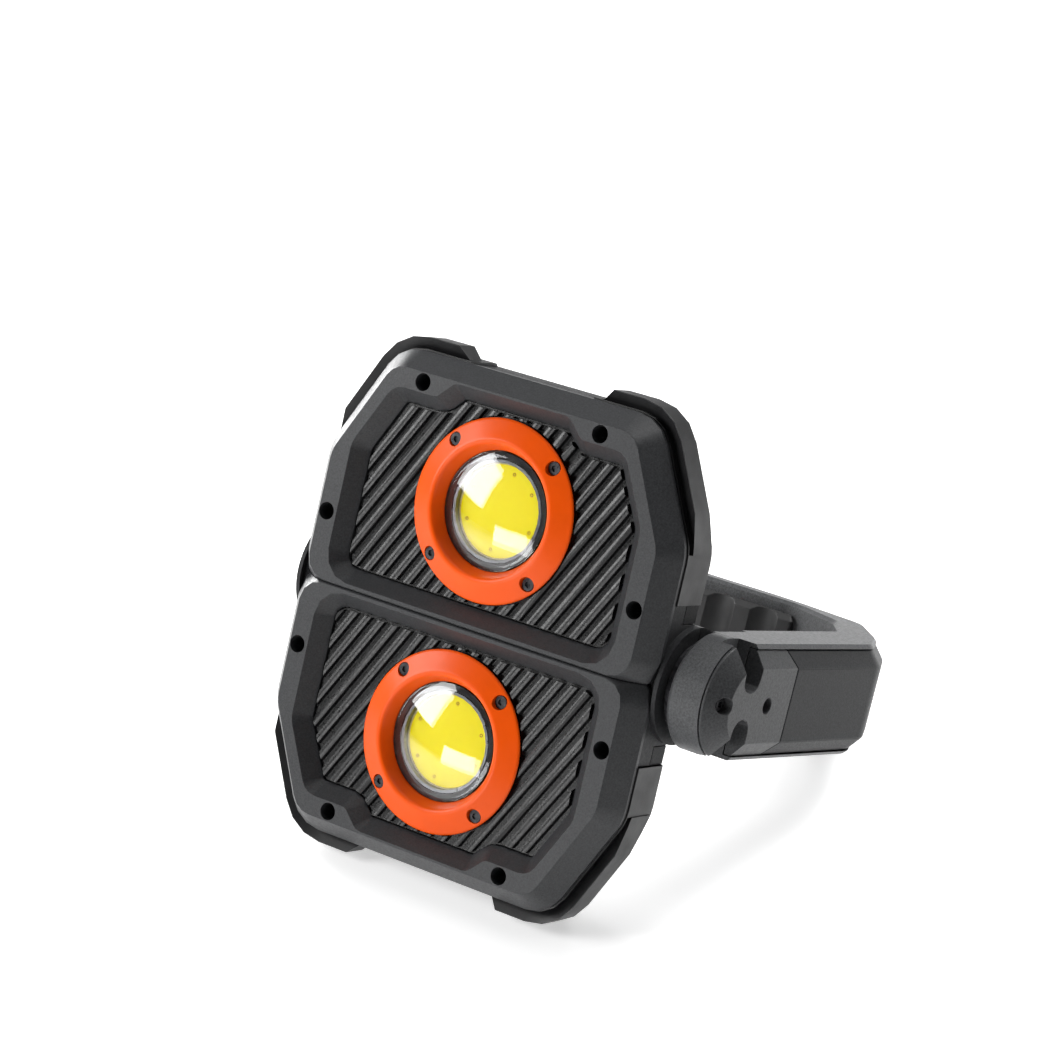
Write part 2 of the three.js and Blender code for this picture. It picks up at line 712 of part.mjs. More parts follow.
function portCover() {
  const half = FLAP_WIDE / 2;
  const low = CONTROL_Z - FLAP_HIGH / 2;
  const flap = [
    [PORT_X - half, low, 0.3],
    [PORT_X + half, low, 0.3],
    [PORT_X + half, low + FLAP_HIGH, 1.5],
    [PORT_X - half, low + FLAP_HIGH, 1.5],
  ];
  return stack([
    [rounded(flap, 3), BACK_Y - FLAP_THICK],
    [rounded(flap, 3), BACK_Y - 0.4],
    [rounded(grown(flap, -0.3), 3), BACK_Y],
  ]);
}

function chargeGauge() {
  return stack([[rounded(GAUGE), BACK_Y - WALL], [rounded(GAUGE), BACK_Y + 0.2]]);
}

function cutControls(rear) {
  const wall = [BACK_Y - WALL - 2, BACK_Y + 2];
  const half = FLAP_WIDE / 2 + GAP;
  const low = CONTROL_Z - FLAP_HIGH / 2 - 1;
  const high = CONTROL_Z + FLAP_HIGH / 2 + GAP;
  const recess = box([PORT_X - half, PORT_X + half], [BACK_Y - FLAP_THICK - GAP, wall[1]], [low, high]);
  const slot = rounded(grown(GAUGE, GAP));
  return rear
    .subtract(pin(BUTTON_R + GAP, wall, [0, CONTROL_Z], 32))
    .subtract(recess)
    .subtract(box([PORT_X - 4.8, PORT_X + 4.8], wall, [CONTROL_Z - 1.9, CONTROL_Z + 1.9]))
    .subtract(stack([[slot, wall[0]], [slot, wall[1]]]));
}

// ---------- pivot ----------

const BOLT_SEAT_X = HUB_RIM_X - 4.2;

function pivotBolt() {
  const profile = [
    [0, PACK_HALF - WALL],
    [BOLT_R, PACK_HALF - WALL],
    [BOLT_R, BOLT_SEAT_X],
    [BOLT_HEAD_R, BOLT_SEAT_X],
    [BOLT_HEAD_R, BOLT_SEAT_X + 3],
    [0, BOLT_SEAT_X + 3],
  ];
  const socket = disc(3.2, [BOLT_SEAT_X + 1, BOLT_SEAT_X + 4], 6);
  return axle(profile, 24).subtract(socket);
}

function bossPlug() {
  const under = BOSS_FACE_X - PLUG_THICK;
  const plug = axle(
    [
      [0, PACK_HALF - WALL],
      [BOLT_R, PACK_HALF - WALL],
      [BOLT_R, under],
      [PLUG_R, under],
      [PLUG_R, BOSS_FACE_X],
      [0, BOSS_FACE_X],
    ],
    32,
  );
  return mirroredX(plug.subtract(disc(4, [BOSS_FACE_X - 1.2, FAR], 6)));
}

function frictionWasher() {
  const [from, to] = [BOSS_FACE_X + GAP, HUB_BASE_X - GAP];
  const [inner, outer] = [BOLT_R + GAP, BOSS_R - 5];
  return axle([[inner, from], [outer, from], [outer, to], [inner, to]], 24);
}

// ---------- handle ----------

// Outline of the handle from above, from the pivot round to the free end of the cross-bar.
const HANDLE_OUTER = [
  [ARM_OUT, 0, 0],
  [ARM_OUT, CORNER_Y, 14],
  [ARM_OUT - 9.1, CORNER_Y + 21, 14],
  [ARM_OUT - 27.5, CORNER_Y + 47.5, 12],
  [BAR_BEND_X, BAR_BACK - 3.2, 60],
  [-BAR_END, BAR_BACK - 3.2, 0],
  [-BAR_END, 0, 0],
];
// The open space inside it.
const HANDLE_INNER = [
  [ARM_IN, -HUB_R - 8, 0],
  [ARM_IN, BAR_FRONT - 36, 14],
  [ARM_IN - 14.5, BAR_FRONT - 12, 12],
  [ARM_IN - 36, BAR_FRONT, 16],
  [-FAR, BAR_FRONT, 0],
  [-FAR, -HUB_R - 8, 0],
];

function slab(corners, half) {
  const points = rounded(corners);
  return stack([[points, -half], [points, half]], "z");
}

function handleFrame() {
  const edge = 1.3;
  const railHalf = HANDLE_HALF - edge;
  const outer = rounded(HANDLE_OUTER);
  const outerEdge = rounded(grown(HANDLE_OUTER, -edge));
  const inner = rounded(HANDLE_INNER);
  const innerEdge = rounded(grown(HANDLE_INNER, edge));
  const whole = stack(
    [[outerEdge, -HANDLE_HALF], [outer, -railHalf], [outer, railHalf], [outerEdge, HANDLE_HALF]],
    "z",
  );
  const space = stack(
    [
      [innerEdge, -HANDLE_HALF - 0.01],
      [inner, -railHalf],
      [inner, railHalf],
      [innerEdge, HANDLE_HALF + 0.01],
    ],
    "z",
  );
  const innerWall = 3;
  const pastHub = box([-FAR, FAR], [HUB_R + 2, 2 * FAR], [-FAR, FAR]);
  const channel = slab(grown(HANDLE_OUTER, 10), COVER_HALF + GAP)
    .subtract(slab(grown(HANDLE_INNER, innerWall), FAR))
    .intersect(pastHub);
  let frame = whole.subtract(space).subtract(channel);
  const fillet = 1.6;
  const hub = axle(
    [
      [0, HUB_BASE_X],
      [HUB_R - fillet, HUB_BASE_X],
      [HUB_R, HUB_BASE_X + fillet],
      [HUB_R, HUB_RIM_X],
      [0, HUB_RIM_X],
    ],
    56,
  );
  const cuts = [
    box([ARM_IN - 5, HUB_BASE_X], [-1, BOSS_R + 5], [-FAR, FAR]),
    box([HUB_RIM_X, FAR], [-FAR, CAP_END + 12], [-COVER_HALF - GAP, COVER_HALF + GAP]),
    disc(BOLT_R + GAP, [0, FAR], 24),
    disc(BOLT_HEAD_R + GAP, [BOLT_SEAT_X - GAP, FAR], 24),
    ...capSlots(HUB_RIM_X - 4.5),
    ...CAP_HOLES.map((y) => disc(SHANK_R + PILOT, [HUB_BASE_X + 4, FAR], 12, y)),
  ];
  frame = frame.add(hub);
  for (const cut of cuts) frame = frame.subtract(cut);
  return frame;
}

// Two round-ended slots run out from beside the pivot to the rim.
function capSlots(floorX) {
  return [1, -1].map((up) => {
    const slot = [
      [-7.4, 2 * HUB_R * up, 0],
      [-6.2, SLOT_TIP * up, 4.6],
      [4.2, SLOT_TIP * up, 4.6],
      [5.4, 2 * HUB_R * up, 0],
    ];
    const points = rounded(up > 0 ? slot : slot.reverse());
    return stack([[points, floorX], [points, FAR]], "x");
  });
}

// Everything short of the arrow-shaped seam between cap and cover.
function capZone(margin) {
  const zone = [
    [-FAR, -FAR, 0],
    [CAP_END + margin, -FAR, 0],
    [CAP_END + margin, -COVER_HALF, 0],
    [CAP_END + CAP_POINT + margin, -COVER_FLAT, 0],
    [CAP_END + CAP_POINT + margin, COVER_FLAT, 0],
    [CAP_END + margin, COVER_HALF, 0],
    [CAP_END + margin, FAR, 0],
    [-FAR, FAR, 0],
  ];
  return stack([[rounded(zone), -FAR], [rounded(zone), FAR]], "x");
}

// Trim plate over the hub: a cone round the pivot that runs on along the arm.
function hubCap() {
  const base = HUB_RIM_X + GAP;
  const coneR = HUB_R - GAP;
  const profile = [[0, base], [coneR, base], [coneR, base + 0.9], [COVER_FLAT, COVER_X], [0, COVER_X]];
  const round = axle(profile, 56);
  const along = (half, length) =>
    rounded([[0, -half, 0], [length, -half, 0], [length, half, 0], [0, half, 0]]);
  const bar = stack(
    [
      [along(COVER_HALF, 40), base],
      [along(COVER_HALF, 40), COVER_STEP_X],
      [along(COVER_FLAT, 40), COVER_X],
    ],
    "x",
  );
  const behind = box([0, FAR], [0, FAR], [-FAR, FAR]);
  let cap = round.subtract(behind).add(bar).intersect(capZone(0));
  for (const slot of capSlots(0)) cap = cap.subtract(slot);
  for (const y of CAP_HOLES) {
    cap = cap.subtract(disc(CAP_HOLE_R, [CAP_SEAT_X, FAR], 20, y));
    cap = cap.subtract(disc(SHANK_R + PILOT, [0, FAR], 12, y));
  }
  return cap;
}

function capScrew(y) {
  const head = disc(2.3, [CAP_SEAT_X, CAP_SEAT_X + 1.8], 12, y);
  const shank = disc(SHANK_R, [HUB_BASE_X + 5, CAP_SEAT_X + 0.2], 8, y);
  const socket = disc(1.2, [CAP_SEAT_X + 0.6, FAR], 6, y);
  return head.add(shank).subtract(socket);
}

// Smooth outer cover, one piece along the arm and the cross-bar.
function handleCover() {
  const proud = COVER_X - ARM_OUT;
  const sunk = COVER_STEP_X - ARM_OUT;
  const deep = -2.6;
  const edge = rounded(grown(HANDLE_OUTER, sunk));
  const flat = rounded(grown(HANDLE_OUTER, proud));
  const whole = stack(
    [[edge, -COVER_HALF], [flat, -COVER_FLAT], [flat, COVER_FLAT], [edge, COVER_HALF]],
    "z",
  );
  const hollow = slab(grown(HANDLE_OUTER, proud - 2.5), COVER_FLAT - 1);
  return whole
    .subtract(slab(grown(HANDLE_OUTER, deep), FAR))
    .subtract(hollow)
    .subtract(capZone(GAP))
    .intersect(box([3 - BAR_END, FAR], [-FAR, FAR], [-FAR, FAR]));
}

// Rubber foot over the cross-bar's free end.
function handleEndCap() {
  const front = BAR_FRONT - 1;
  const back = BAR_BACK - 3.2 + COVER_X - ARM_OUT;
  const rail = BAR_BACK - 3.8;
  const section = [
    [front, -HANDLE_HALF, 3],
    [rail, -HANDLE_HALF, 1.3],
    [back, -COVER_FLAT, 1],
    [back, COVER_FLAT, 1],
    [rail, HANDLE_HALF, 1.3],
    [front, HANDLE_HALF, 3],
  ];
  return stack(
    [
      [rounded(section), -BAR_END - GAP],
      [rounded(section), -BAR_END - 6],
      [rounded(grown(section, -2)), -BAR_END - 8],
    ],
    "x",
  );
}

// Soft pad inside the cross-bar, with grooves for the fingers.
function handleGrip() {
  const half = GRIP_HALF;
  const high = 15.2;
  const edge = 2;
  const back = BAR_FRONT - GAP;
  const pad = (by) => [
    [-half + 2 - by, back, 0],
    [-half - by, GRIP_FRONT - by, 2],
    [half + by, GRIP_FRONT - by, 2],
    [half - 2 + by, back, 0],
  ];
  let grip = stack(
    [
      [rounded(pad(-edge)), -high],
      [rounded(pad(0)), -high + edge],
      [rounded(pad(0)), high - edge],
      [rounded(pad(-edge)), high],
    ],
    "z",
  );
  grip = grip.intersect(slab(grown(HANDLE_INNER, -GAP), FAR));
  const grooveR = 8;
  const grooveY = GRIP_FRONT - grooveR + 2.6;
  for (const k of [-1.5, -0.5, 0.5, 1.5]) {
    const groove = new THREE.CylinderGeometry(grooveR, grooveR, 4 * high, 24).rotateX(Math.PI / 2);
    grip = grip.subtract(solid(groove.translate(k * GRIP_PITCH, grooveY, 0)));
  }
  return grip;
}

// ---------- the whole light ----------

const lamp = new THREE.Group();
const handle = new THREE.Group();

const behindLens = [LENS_EDGE_Y + LENS_WALL + GAP, LED_FACE_Y - GAP];

for (const [name, turn] of [["upper", 0], ["lower", Math.PI]]) {
  const head = new THREE.Group();
  head.rotation.y = turn;
  lamp.add(head);
  head.add(
    mesh(`front_frame_${name}`, frontFrame(), FINISH.charcoal),
    mesh(`heat_panel_${name}`, heatPanel(), FINISH.rib),
    mesh(`lens_ring_${name}`, lensRing(), FINISH.orange),
    mesh(`lens_${name}`, lens(), FINISH.clear),
    mesh(`lens_seal_${name}`, flatRing(SEAL_IN, LENS_R, behindLens), FINISH.rubber),
    mesh(`reflector_${name}`, flatRing(GLOW_R + GAP, SEAL_IN - GAP, behindLens), FINISH.silver),
    mesh(`led_board_${name}`, ledBoard(), FINISH.glow),
  );
  ringScrewPlaces().forEach((place, k) => {
    const screw = headScrew(place, RING_SCREW_HEAD_R, RING_SCREW_SEAT_Y, 1.1, 9.4);
    head.add(mesh(`ring_screw_${name}_${k + 1}`, screw, FINISH.steel));
  });
  screwPlaces().forEach((place, k) => {
    const screw = headScrew(place, WELL_R - GAP, WELL_DEEP, 2, 13);
    head.add(mesh(`frame_screw_${name}_${k + 1}`, screw, FINISH.steel));
  });
}

const whole = shell();
lamp.add(
  mesh("mid_housing", midHousing(whole), FINISH.charcoal),
  mesh("rear_housing", rearHousing(whole), FINISH.darkShell),
  mesh("heat_sink", heatSink(), FINISH.aluminium),
  mesh("driver_board", driverBoard(), FINISH.board),
  mesh("battery_tray", batteryTray(), FINISH.rib),
  mesh("control_board", controlBoard(), FINISH.board),
  mesh("power_button", powerButton(), FINISH.orange),
  mesh("port_cover", portCover(), FINISH.rubber),
  mesh("charge_gauge", chargeGauge(), FINISH.clear),
);
for (const corner of CORNERS) {
  lamp.add(mesh(`bumper_${corner[0]}`, placedCorner(bumper(), corner), FINISH.rubber));
}
for (const k of [0, 1, 2, 3]) {
  lamp.add(mesh(`battery_cell_${k + 1}`, batteryCell(k), FINISH.cell));
}

const pivot = new THREE.Group();
pivot.position.y = PIVOT_Y;
lamp.add(pivot);
handle.add(
  mesh("handle_frame", handleFrame(), FINISH.charcoal),
  mesh("handle_cover", handleCover(), FINISH.darkShell),
  mesh("handle_grip", handleGrip(), FINISH.rubber),
);
pivot.add(
  mesh("pivot_bolt", pivotBolt(), FINISH.steel),
  mesh("friction_washer", frictionWasher(), FINISH.brass),
  mesh("boss_plug", bossPlug(), FINISH.darkShell),
);
handle.add(
  mesh("hub_cap", hubCap(), FINISH.darkShell),
  mesh("handle_end_cap", handleEndCap(), FINISH.rubber),
);
CAP_HOLES.forEach((y, k) => {
  handle.add(mesh(`cap_screw_${k + 1}`, capScrew(y), FINISH.steel));
});

// The lamp leans back on its lower bumpers, and the handle swings down until it touches the same
// surface.
lamp.rotation.x = -LEAN;
lamp.updateMatrixWorld(true);
handle.position.copy(new THREE.Vector3(0, PIVOT_Y, 0).applyEuler(lamp.rotation));
const lampFoot = new THREE.Box3().setFromObject(lamp, true).min.z;
handle.rotation.x = -tiltToTouch(handle, handle.position.z - lampFoot);

function tiltToTouch(group, drop) {
  let least = Math.PI / 2;
  for (const piece of group.children) {
    const at = piece.geometry.getAttribute("position");
    for (let i = 0; i < at.count; i++) {
      const reach = Math.hypot(at.getY(i), at.getZ(i));
      if (reach <= drop) continue;
      const below = Math.atan2(-at.getZ(i), at.getY(i));
      if (at.getY(i) > 0) least = Math.min(least, Math.asin(drop / reach) - below);
    }
  }
  return least;
}

const stand = new THREE.Group();
stand.add(lamp, handle);
stand.updateMatrixWorld(true);
const extent = new THREE.Box3().setFromObject(stand, true);
const middle = extent.getCenter(new THREE.Vector3());
stand.position.set(-middle.x, -middle.y, -extent.min.z);

const workLight = new THREE.Group();
workLight.add(stand);

export default workLight;
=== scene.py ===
import json
import math

import bpy
from mathutils import Matrix, Vector


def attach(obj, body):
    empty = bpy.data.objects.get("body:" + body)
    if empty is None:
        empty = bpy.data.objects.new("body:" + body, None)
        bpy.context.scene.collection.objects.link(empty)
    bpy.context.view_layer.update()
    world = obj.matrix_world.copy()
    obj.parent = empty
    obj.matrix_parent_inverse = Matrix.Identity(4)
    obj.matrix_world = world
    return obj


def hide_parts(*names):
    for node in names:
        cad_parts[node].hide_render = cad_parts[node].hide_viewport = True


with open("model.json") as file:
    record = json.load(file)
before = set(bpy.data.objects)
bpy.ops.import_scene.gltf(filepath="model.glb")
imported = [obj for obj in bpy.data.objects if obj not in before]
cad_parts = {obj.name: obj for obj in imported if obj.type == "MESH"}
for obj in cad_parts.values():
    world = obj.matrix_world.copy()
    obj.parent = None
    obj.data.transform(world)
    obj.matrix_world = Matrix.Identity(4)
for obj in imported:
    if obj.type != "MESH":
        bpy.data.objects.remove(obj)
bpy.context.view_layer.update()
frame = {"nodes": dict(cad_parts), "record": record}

MM = 0.001
LEAN = math.radians(22.83)  # how far the lamp leans back
LAMP = Matrix.Translation((-0.0115, -0.068241, 0.089603)) @ Matrix.Rotation(-LEAN, 4, "X")
HEADS = {"upper": Matrix.Identity(4), "lower": Matrix.Rotation(math.pi, 4, "Y")}
HEAD_Z = 39.7  # height of a lamp head's centre in mm, in the lamp's own frame

CAMERA_AT = (0.56246, -0.86236, 0.63156)
CAMERA_LOOKS = (-0.5038, 0.7321, -0.4585)
CAMERA_LENS = 115.44
WORLD_GLOW = 0.06
FLOOR_SIDE = 14
LIGHT_MIDDLE = (0, -0.03, 0.09)
SOFTBOXES = [
    # name, place, looks at, width, height, watts
    ("key_box", (-1.02, -0.80, 0.66), LIGHT_MIDDLE, 0.7, 0.62, 14),
    ("front_box", (-0.3, -1.35, 0.04), LIGHT_MIDDLE, 0.6, 0.42, 7),
    ("left_strip", (-1.0, 0.35, 0.3), LIGHT_MIDDLE, 0.3, 0.8, 12),
    ("top_box", (0.1, 0.5, 1.7), (0, 0, 0), 2.0, 2.0, 14),
    ("back_box", (0.3, 0.75, 0.95), LIGHT_MIDDLE, 0.5, 0.5, 11),
]


# ---------- camera, lights and floor ----------


def aim(thing, target):
    """Turns a lamp or camera to look at a point."""
    away = Vector(target) - thing.location
    thing.rotation_mode = "QUATERNION"
    thing.rotation_quaternion = away.to_track_quat("-Z", "Y")


def softbox(name, place, target, wide, high, watts):
    data = bpy.data.lights.new(name, "AREA")
    data.shape = "RECTANGLE"
    data.size, data.size_y = wide, high
    data.energy = watts
    box = bpy.data.objects.new(name, data)
    bpy.context.scene.collection.objects.link(box)
    box.location = place
    aim(box, target)


def studio():
    scene = bpy.context.scene
    camera = bpy.data.objects.new("camera", bpy.data.cameras.new("camera"))
    scene.collection.objects.link(camera)
    camera.location = CAMERA_AT
    aim(camera, camera.location + Vector(CAMERA_LOOKS))
    camera.data.lens = CAMERA_LENS
    camera.data.sensor_width = 36
    camera.data.clip_start = 0.01
    scene.camera = camera

    scene.view_settings.view_transform = "Standard"
    world = bpy.data.worlds.new("studio")
    world.use_nodes = True
    background = world.node_tree.nodes["Background"]
    background.inputs["Color"].default_value = (1, 1, 1, 1)
    background.inputs["Strength"].default_value = WORLD_GLOW
    scene.world = world

    for box in SOFTBOXES:
        softbox(*box)

    bpy.ops.object.select_all(action="DESELECT")
    bpy.ops.mesh.primitive_plane_add(size=FLOOR_SIDE, location=(0, 0, 0))
    floor = bpy.context.object
    floor.name = "floor"
    paint(floor, floor_finish())


# ---------- finishes ----------

NOISE_LOW, NOISE_HIGH = 0.3, 0.7  # the part of the noise that is spread over a whole range


class Finish:
    """A material and the means of wiring patterns into it."""

    def __init__(self, name, colour, rough, **sockets):
        self.material = bpy.data.materials.new(name)
        self.material.use_nodes = True
        self.tree = self.material.node_tree
        self.shader = self.tree.nodes["Principled BSDF"]
        self.shader.inputs["Base Color"].default_value = (*colour, 1)
        self.shader.inputs["Roughness"].default_value = rough
        for socket, value in sockets.items():
            self.shader.inputs[socket.replace("_", " ")].default_value = value
        self.colour = colour
        self.rough = rough
        self.place = self.tree.nodes.new("ShaderNodeTexCoord").outputs["Object"]

    def noise(self, scale, detail=2, ruggedness=0.5):
        node = self.tree.nodes.new("ShaderNodeTexNoise")
        node.inputs["Scale"].default_value = scale
        node.inputs["Detail"].default_value = detail
        node.inputs["Roughness"].default_value = ruggedness
        self.tree.links.new(self.place, node.inputs["Vector"])
        return node.outputs["Fac"]

    def tinted(self, factor, low, high):
        """Colour varies between two shares of the base colour."""
        node = self.tree.nodes.new("ShaderNodeValToRGB")
        ramp = node.color_ramp
        ramp.elements[0].position, ramp.elements[1].position = NOISE_LOW, NOISE_HIGH
        ramp.elements[0].color = (*(c * low for c in self.colour), 1)
        ramp.elements[1].color = (*(c * high for c in self.colour), 1)
        self.tree.links.new(factor, node.inputs["Fac"])
        self.tree.links.new(node.outputs["Color"], self.shader.inputs["Base Color"])
        return self

    def sheen_varied(self, factor, spread):
        """Roughness varies by a spread to either side of its own value."""
        node = self.tree.nodes.new("ShaderNodeMapRange")
        node.inputs["From Min"].default_value = NOISE_LOW
        node.inputs["From Max"].default_value = NOISE_HIGH
        node.inputs["To Min"].default_value = self.rough - spread
        node.inputs["To Max"].default_value = self.rough + spread
        self.tree.links.new(factor, node.inputs["Value"])
        self.tree.links.new(node.outputs["Result"], self.shader.inputs["Roughness"])
        return self

    def bump(self, factor, strength, depth):
        node = self.tree.nodes.new("ShaderNodeBump")
        node.inputs["Strength"].default_value = strength
        node.inputs["Distance"].default_value = depth
        self.tree.links.new(factor, node.inputs["Height"])
        self.tree.links.new(node.outputs["Normal"], self.shader.inputs["Normal"])
        return self


def floor_finish():
    made = Finish("white_floor", (0.93, 0.93, 0.93), 0.6)
    made.shader.inputs["Emission Color"].default_value = (1, 1, 1, 1)
    made.shader.inputs["Emission Strength"].default_value = 0.5
    made.sheen_varied(made.noise(6), 0.05)
    return made.material


def moulded(name, colour, rough, grain, depth, **sockets):
    """Moulded plastic: an even fine grain that catches the light in specks."""
    made = Finish(name, colour, rough, **sockets)
    made.tinted(made.noise(grain, 4, 0.75), 0.6, 1.5)
    made.sheen_varied(made.noise(grain * 0.6, 3), 0.07)
    made.bump(made.noise(grain, 3, 0.65), 0.4, depth)
    return made.material


def rubbery(name, colour, rough):
    """Dull rubber with a leathery pebble and a dusty bloom."""
    made = Finish(name, colour, rough)
    made.tinted(made.noise(120, 4, 0.65), 0.75, 1.35)
    made.sheen_varied(made.noise(90, 3), 0.08)
    made.bump(made.noise(1600, 2, 0.6), 0.35, 0.00005)
    return made.material


def satin_orange():
    made = Finish("orange_plastic", (0.86, 0.09, 0.002), 0.32)
    made.shader.inputs["Specular IOR Level"].default_value = 0.16
    made.shader.inputs["Coat Weight"].default_value = 0.1
    made.shader.inputs["Coat Roughness"].default_value = 0.2
    made.tinted(made.noise(60, 3), 0.93, 1.05)
    made.sheen_varied(made.noise(200, 2), 0.04)
    made.bump(made.noise(2400, 2), 0.2, 0.00003)
    return made.material


def dark_steel():
    made = Finish("black_steel", (0.03, 0.03, 0.033), 0.35, Metallic=0.6)
    made.tinted(made.noise(700, 4), 0.6, 1.8)
    made.sheen_varied(made.noise(900, 3), 0.1)
    made.bump(made.noise(3000, 2), 0.2, 0.00002)
    return made.material


def clear(name, tint, rough):
    """Clear or smoked moulding, with hardly any change of sheen."""
    made = Finish(name, tint, rough, IOR=1.49)
    made.shader.inputs["Transmission Weight"].default_value = 1
    made.sheen_varied(made.noise(120, 2), 0.008)
    return made.material


def phosphor_painted_glow():
    made = Finish("yellow_phosphor_painted_glow", (0.93, 0.80, 0.0), 0.5)
    # Emission here is a painted glow: it brightens the yellow disc although the lamp is off.
    made.shader.inputs["Emission Color"].default_value = (1.0, 0.82, 0.0, 1)
    made.shader.inputs["Emission Strength"].default_value = 0.4
    made.tinted(made.noise(900, 3, 0.6), 0.93, 1.04)
    made.sheen_varied(made.noise(300, 2), 0.06)
    made.bump(made.noise(2200, 2), 0.3, 0.00003)
    return made.material


def metal(name, colour, rough, scale):
    made = Finish(name, colour, rough, Metallic=1.0)
    made.tinted(made.noise(scale, 4), 0.85, 1.1)
    made.sheen_varied(made.noise(scale * 2, 3), 0.08)
    made.bump(made.noise(scale * 4, 3), 0.2, 0.00002)
    return made.material


def circuit():
    made = Finish("solder_mask", (0.02, 0.12, 0.05), 0.35)
    made.tinted(made.noise(400, 3), 0.8, 1.3)
    made.bump(made.noise(900, 3), 0.3, 0.00005)
    return made.material


def paint(piece, material):
    piece.data.materials.clear()
    piece.data.materials.append(material)


# ---------- shaping ----------


def select_only(piece):
    bpy.ops.object.select_all(action="DESELECT")
    piece.select_set(True)
    bpy.context.view_layer.objects.active = piece


def apply_all(piece):
    select_only(piece)
    for modifier in list(piece.modifiers):
        bpy.ops.object.modifier_apply(modifier=modifier.name)


EASED_ANGLE = 28  # edges sharper than this are rounded, in degrees


def round_edges(piece, width, angle):
    """Rounds the edges sharper than an angle, as a modifier to be applied later."""
    bevel = piece.modifiers.new("edges", "BEVEL")
    bevel.width = width
    bevel.segments = 2
    bevel.limit_method = "ANGLE"
    bevel.angle_limit = math.radians(angle)


def smoothed(piece, angle):
    """Smooth shading between faces that meet at less than an angle."""
    select_only(piece)
    bpy.ops.object.shade_smooth_by_angle(angle=math.radians(angle))
    weighted = piece.modifiers.new("normals", "WEIGHTED_NORMAL")
    weighted.keep_sharp = True
    apply_all(piece)


def eased(node, edge):
    """A merged copy of a CAD node with its edges rounded."""
    piece = bpy.data.objects.new(node + "_shell", frame["nodes"][node].data.copy())
    bpy.context.scene.collection.objects.link(piece)
    select_only(piece)
    bpy.ops.mesh.customdata_custom_splitnormals_clear()
    bpy.ops.object.mode_set(mode="EDIT")
    bpy.ops.mesh.select_all(action="SELECT")
    bpy.ops.mesh.remove_doubles(threshold=0.000004)
    bpy.ops.mesh.dissolve_limited(angle_limit=math.radians(0.8))
    bpy.ops.object.mode_set(mode="OBJECT")
    if edge:
        round_edges(piece, edge, EASED_ANGLE)
    smoothed(piece, EASED_ANGLE)
    return piece


def pick_edges(piece, wanted):
    """Selects the edges whose two ends pass a test, and stays in edit mode."""
    select_only(piece)
    bpy.ops.object.mode_set(mode="EDIT")
    bpy.ops.mesh.select_mode(type="EDGE")
    bpy.ops.mesh.select_all(action="DESELECT")
    bpy.ops.object.mode_set(mode="OBJECT")
    for edge in piece.data.edges:
        a, b = (piece.data.vertices[v].co for v in edge.vertices)
        edge.select = wanted(a, b)
    bpy.ops.object.mode_set(mode="EDIT")


def joined(pieces, name):
    """Several pieces made into one object."""
    bpy.ops.object.select_all(action="DESELECT")
    for piece in pieces:
        piece.select_set(True)
    bpy.context.view_layer.objects.active = pieces[0]
    bpy.ops.object.join()
    whole = bpy.context.object
    whole.name = name
    return whole


def turned(name, profile, steps):
    """A body of revolution about Y. The profile is [radius, depth] in mm, from one end to the
    other, and a radius of 0 closes it at the axis. Otherwise its last ring meets its first."""
    radius, depth = profile[0]
    capped = radius == 0
    if capped:
        radius, depth = profile[1]
    bpy.ops.object.select_all(action="DESELECT")
    bpy.ops.mesh.primitive_circle_add(
        vertices=steps,
        radius=radius * MM,
        location=(0, depth * MM, 0),
        rotation=(math.pi / 2, 0, 0),
        fill_type="TRIFAN" if capped else "NOTHING",
    )
    piece = bpy.context.object
    piece.name = name
    bpy.ops.object.transform_apply(location=True, rotation=True, scale=True)
    bpy.ops.object.mode_set(mode="EDIT")
    bpy.ops.mesh.select_all(action="SELECT")
    if capped:
        bpy.ops.mesh.region_to_loop()
    path = profile[2:] if capped else profile[1:] + profile[:1]
    for next_radius, next_depth in path:
        bpy.ops.mesh.extrude_edges_move(
            TRANSFORM_OT_translate={"value": (0, (next_depth - depth) * MM, 0)}
        )
        if next_radius == 0:
            bpy.ops.mesh.merge(type="CENTER")
            break
        grow = next_radius / radius
        bpy.ops.transform.resize(value=(grow, 1, grow), center_override=(0, next_depth * MM, 0))
        radius, depth = next_radius, next_depth
    bpy.ops.mesh.select_all(action="SELECT")
    bpy.ops.mesh.remove_doubles(threshold=0.000002)
    bpy.ops.mesh.normals_make_consistent(inside=False)
    bpy.ops.object.mode_set(mode="OBJECT")
    return piece


def settle(piece, place):
    """Puts a piece in its place and bakes that into its mesh."""
    select_only(piece)
    piece.matrix_world = place
    bpy.ops.object.transform_apply(location=True, rotation=True, scale=True)


def in_head(head, x=0.0, z=0.0):
    """The place of a point on a head's face, from the head's centre in mm."""
    return LAMP @ HEADS[head] @ Matrix.Translation((x * MM, 0, (HEAD_Z + z) * MM))


def turned_in_head(kind, head, profile, steps, angle):
    """A smooth turned piece set in one of the heads."""
    piece = turned(kind.format(head), profile, steps)
    smoothed(piece, angle)
    settle(piece, in_head(head))
    return piece


def bored(piece, radius, low, high, places, steps=40):
    """Round holes along Y through a piece, between two depths, at [x, z] places."""
    for x, z in places:
        bpy.ops.object.select_all(action="DESELECT")
        bpy.ops.mesh.primitive_cylinder_add(
            vertices=steps,
            radius=radius * MM,
            depth=(high - low) * MM,
            location=(x * MM, (low + high) / 2 * MM, z * MM),
            rotation=(math.pi / 2, 0, 0),
        )
        cutter = bpy.context.object
        cut = piece.modifiers.new("bore", "BOOLEAN")
        cut.operation = "DIFFERENCE"
        cut.solver = "EXACT"
        cut.object = cutter
        apply_all(piece)
        bpy.data.objects.remove(cutter)


# ---------- the light ----------

